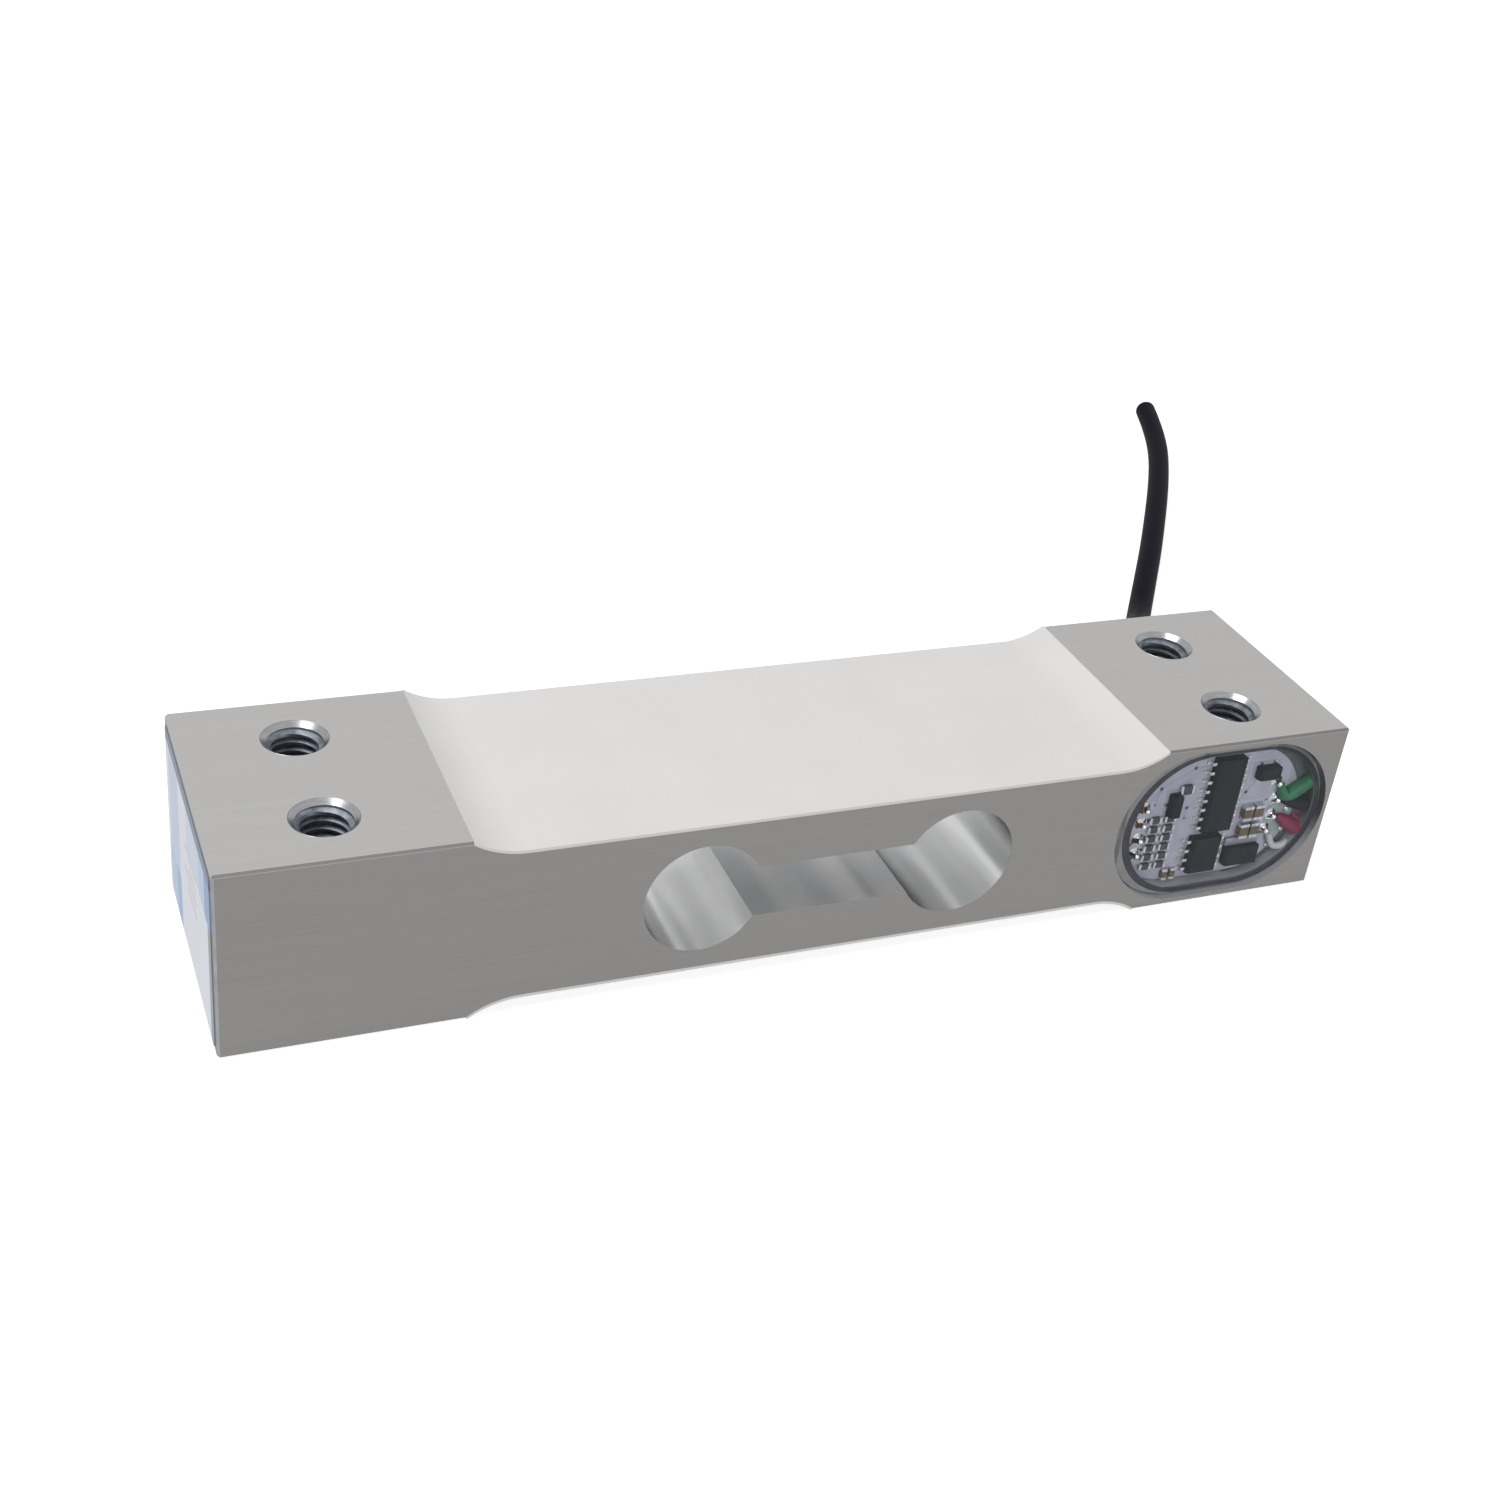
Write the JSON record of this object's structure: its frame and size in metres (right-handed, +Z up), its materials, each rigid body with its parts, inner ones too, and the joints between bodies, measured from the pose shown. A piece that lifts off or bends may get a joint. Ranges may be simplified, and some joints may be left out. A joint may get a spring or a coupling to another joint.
{
  "type": "single point load cell",
  "caption": "Machined bar that bends over a dogbone opening, with tapped end pads, a clear window over its signal board and a short cable.",
  "frame": {"origin": "middle of the bar's underside", "axes": "+X along the bar towards the signal board and the cable, -Y out of the window, +Z up"},
  "size_m": [0.1911, 0.1369, 0.022],
  "materials": {
    "bar": "machined and satin anodised",
    "seal_coat": "smooth pale sealing compound",
    "gauge_foil": "foil on polyimide backing",
    "terminal": "etched copper on film",
    "enamelled_wire": "enamelled copper",
    "board": "pale solder mask",
    "adhesive": "cured adhesive",
    "chip": "moulded epoxy",
    "lead": "tinned leads",
    "resistor": "glazed ceramic",
    "capacitor": "ceramic",
    "solder": "bright solder",
    "seal_ring": "dark sealing compound",
    "window": "clear moulded acrylic",
    "wire_green": "insulation",
    "wire_black": "insulation",
    "wire_red": "insulation",
    "wire_white": "insulation",
    "grommet": "moulded rubber",
    "jacket": "smooth flexible jacket",
    "label": "printed film"
  },
  "bodies": {
    "root": {"black_wire": "wire_black", "board_adhesive": "adhesive", "bottom_fixed_gauge": "gauge_foil", "bottom_gauge_wires": "enamelled_wire", "bottom_load_gauge": "gauge_foil", "bottom_seal_coat": "seal_coat", "bottom_terminal_strip": "terminal", "cable": "jacket", "cable_grommet": "grommet", "capacitor_end_caps": "lead", "chip_capacitors": "capacitor", "chip_resistors": "resistor", "circuit_board": "board", "controller_chip": "chip", "controller_leads": "lead", "converter_chip": "chip", "converter_leads": "lead", "end_label": "label", "green_wire": "wire_green", "red_wire": "wire_red", "reference_leads": "lead", "regulator_leads": "lead", "resistor_end_caps": "lead", "sensor_body": "bar", "solder_joints": "solder", "top_fixed_gauge": "gauge_foil", "top_gauge_wires": "enamelled_wire", "top_load_gauge": "gauge_foil", "top_seal_coat": "seal_coat", "top_terminal_strip": "terminal", "transistor": "chip", "transistor_leads": "lead", "voltage_reference": "chip", "voltage_regulator": "chip", "white_wire": "wire_white", "window": "window", "window_seal": "seal_ring"}
  },
  "joints": []
}
